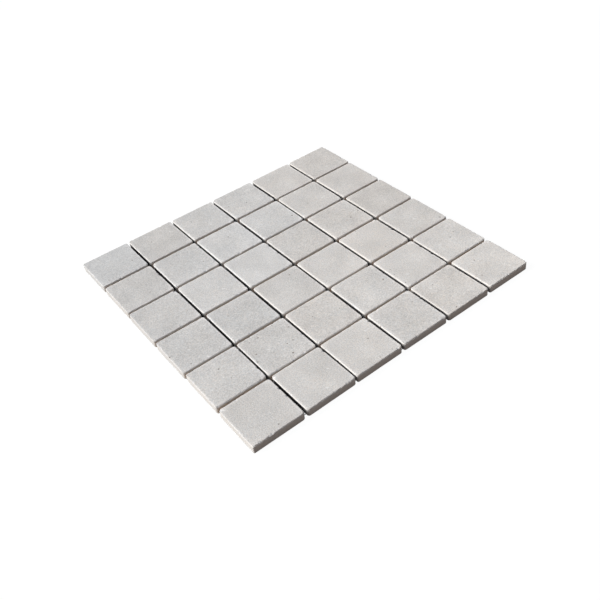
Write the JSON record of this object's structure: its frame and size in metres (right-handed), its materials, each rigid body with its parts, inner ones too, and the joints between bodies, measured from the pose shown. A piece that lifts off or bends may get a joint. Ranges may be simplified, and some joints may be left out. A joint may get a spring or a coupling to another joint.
{
  "type": "mosaic tile sheet",
  "caption": "Square sheet of small tumbled stone tiles with open joints, held together by a glass-fibre net glued to their backs, for covering floors and walls.",
  "frame": {"origin": "centre of the sheet's back, in the plane of the net's underside", "axes": "+Z out of the tile faces, +X along the rows' numbering, +Y along the columns' numbering"},
  "size_m": [0.2987, 0.2988, 0.008],
  "materials": {
    "tumbled_stone": "matte",
    "glass_fibre_net": "satin"
  },
  "bodies": {
    "root": {"tile_r1_c1": "tumbled_stone", "tile_r1_c2": "tumbled_stone", "tile_r1_c3": "tumbled_stone", "tile_r1_c4": "tumbled_stone", "tile_r1_c5": "tumbled_stone", "tile_r1_c6": "tumbled_stone", "tile_r2_c1": "tumbled_stone", "tile_r2_c2": "tumbled_stone", "tile_r2_c3": "tumbled_stone", "tile_r2_c4": "tumbled_stone", "tile_r2_c5": "tumbled_stone", "tile_r2_c6": "tumbled_stone", "tile_r3_c1": "tumbled_stone", "tile_r3_c2": "tumbled_stone", "tile_r3_c3": "tumbled_stone", "tile_r3_c4": "tumbled_stone", "tile_r3_c5": "tumbled_stone", "tile_r3_c6": "tumbled_stone", "tile_r4_c1": "tumbled_stone", "tile_r4_c2": "tumbled_stone", "tile_r4_c3": "tumbled_stone", "tile_r4_c4": "tumbled_stone", "tile_r4_c5": "tumbled_stone", "tile_r4_c6": "tumbled_stone", "tile_r5_c1": "tumbled_stone", "tile_r5_c2": "tumbled_stone", "tile_r5_c3": "tumbled_stone", "tile_r5_c4": "tumbled_stone", "tile_r5_c5": "tumbled_stone", "tile_r5_c6": "tumbled_stone", "tile_r6_c1": "tumbled_stone", "tile_r6_c2": "tumbled_stone", "tile_r6_c3": "tumbled_stone", "tile_r6_c4": "tumbled_stone", "tile_r6_c5": "tumbled_stone", "tile_r6_c6": "tumbled_stone", "backing_net_front_left": "glass_fibre_net", "backing_net_front_right": "glass_fibre_net", "backing_net_back_left": "glass_fibre_net", "backing_net_back_right": "glass_fibre_net"}
  },
  "joints": []
}
